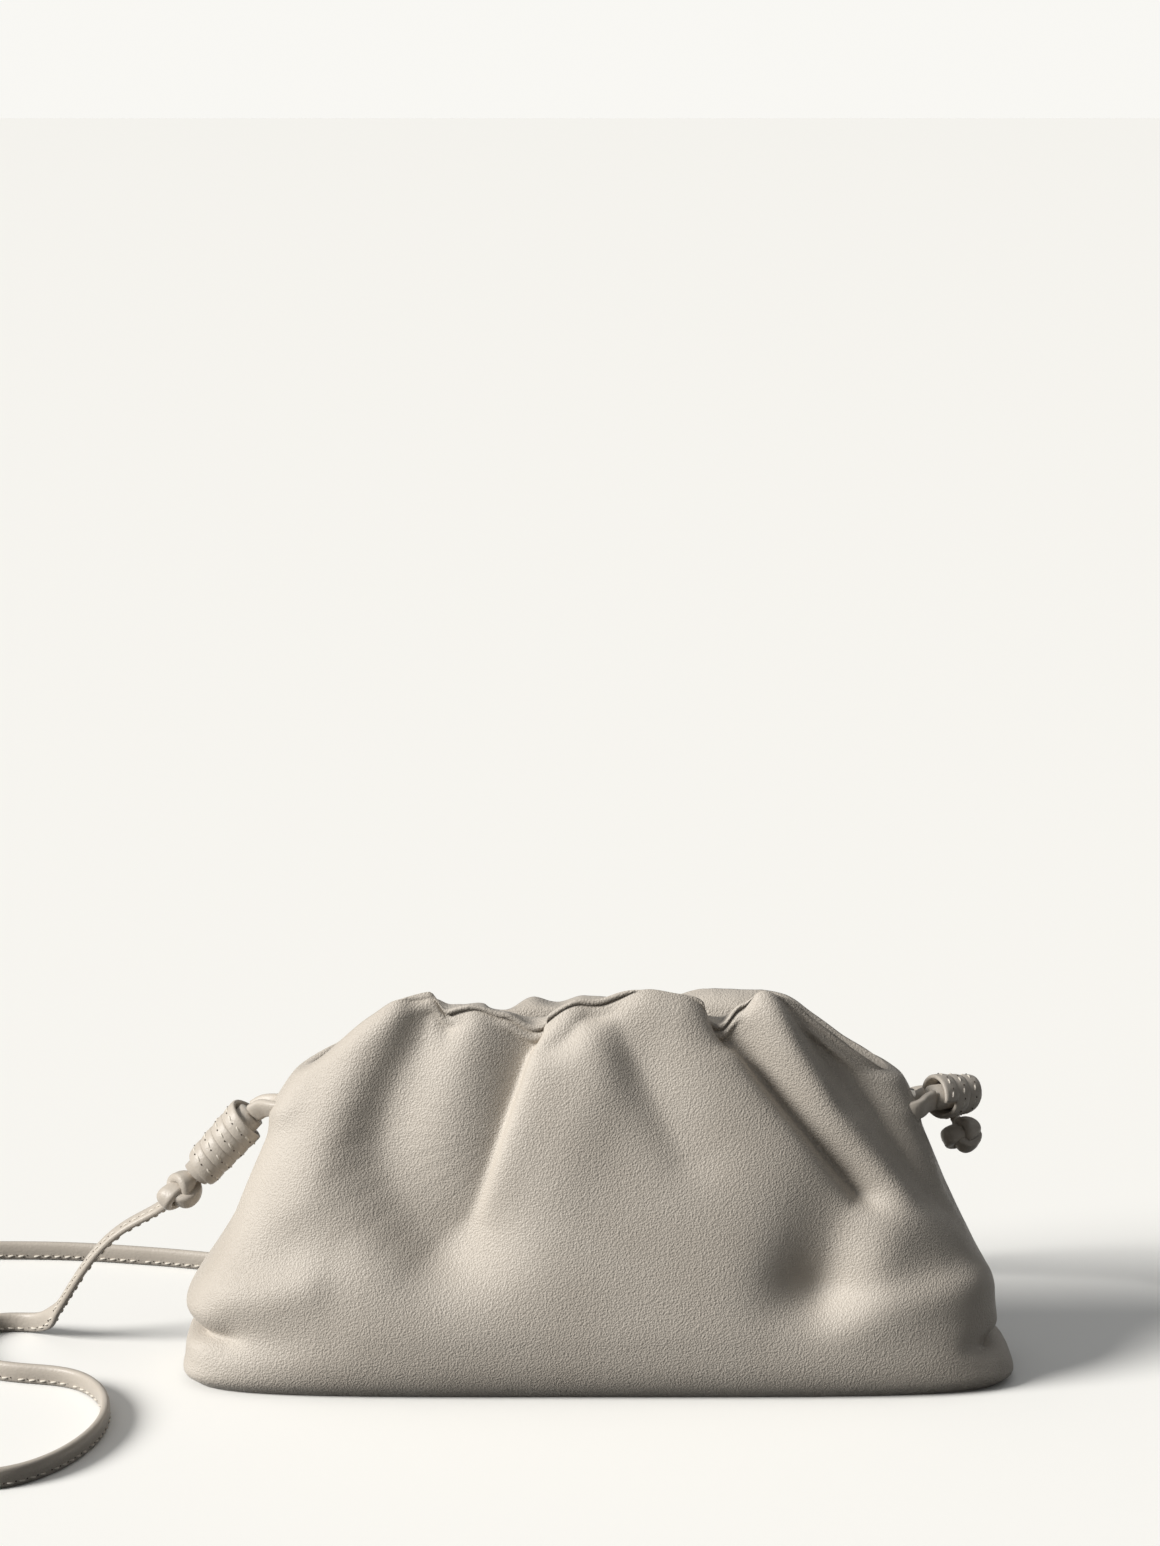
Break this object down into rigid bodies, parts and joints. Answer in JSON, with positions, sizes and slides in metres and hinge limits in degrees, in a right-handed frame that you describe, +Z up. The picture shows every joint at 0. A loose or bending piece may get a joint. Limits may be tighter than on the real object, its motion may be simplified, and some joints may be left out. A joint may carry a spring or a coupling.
{
  "type": "cloud pouch bag",
  "caption": "Soft gathered leather pouch on a hidden frame, standing on its flat base, with a thin knotted shoulder strap laid beside it.",
  "frame": {"origin": "on the ground, under the middle of the bag", "axes": "+X along the bag to its right end as seen from the front, +Y to the back, +Z up"},
  "size_m": [0.3916, 0.1932, 0.1105],
  "materials": {
    "pouch_leather": "smooth, finely grained, satin",
    "strap_leather": "smooth, satin, one row of stitches",
    "frame_metal": "plain, hidden"
  },
  "bodies": {
    "root": {"pouch_body": "pouch_leather", "clasp_frame": "frame_metal", "strap_loop_left": "strap_leather", "strap_coil_left": "strap_leather", "strap_knot_left": "strap_leather", "strap_loop_right": "strap_leather", "strap_coil_right": "strap_leather", "strap_knot_right": "strap_leather", "strap": "strap_leather"}
  },
  "joints": []
}
